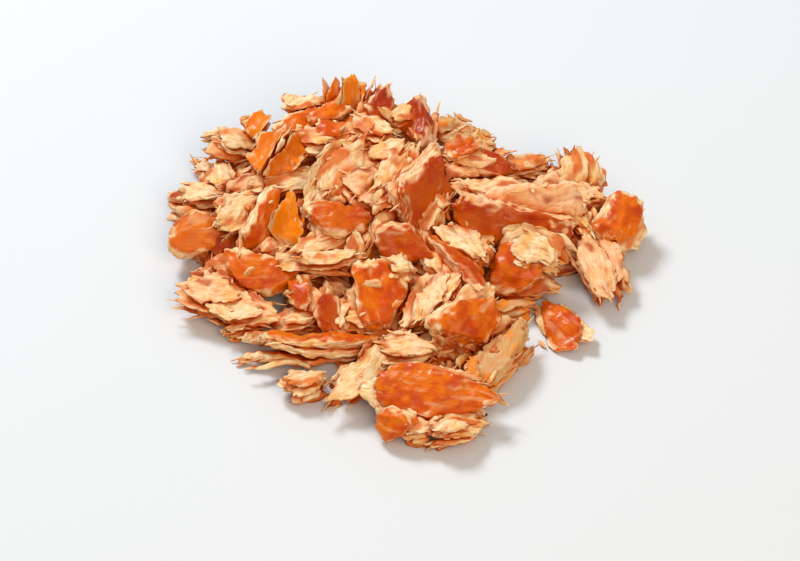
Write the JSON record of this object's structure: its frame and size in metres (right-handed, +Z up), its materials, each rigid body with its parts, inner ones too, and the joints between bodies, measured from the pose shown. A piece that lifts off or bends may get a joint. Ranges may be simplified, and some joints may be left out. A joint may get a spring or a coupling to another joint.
{
  "type": "hot smoked salmon flakes",
  "caption": "Loose heap of torn hot smoked salmon flakes, highest at the back left, with pale fibrous flesh and glossy orange smoked faces.",
  "frame": {"origin": "middle of the heap, on the flat underside that it rests on", "axes": "+Z up from the underside, +X to the heap's right as seen from its near side, -Y towards the near side"},
  "size_m": [0.1471, 0.1344, 0.0322],
  "materials": {
    "salmon_flesh": "satin",
    "smoked_face": "gloss"
  },
  "bodies": {
    "root": {"flake_heap": "salmon_flesh", "loose_flake_left": "salmon_flesh", "loose_flake_right": "smoked_face"}
  },
  "joints": []
}
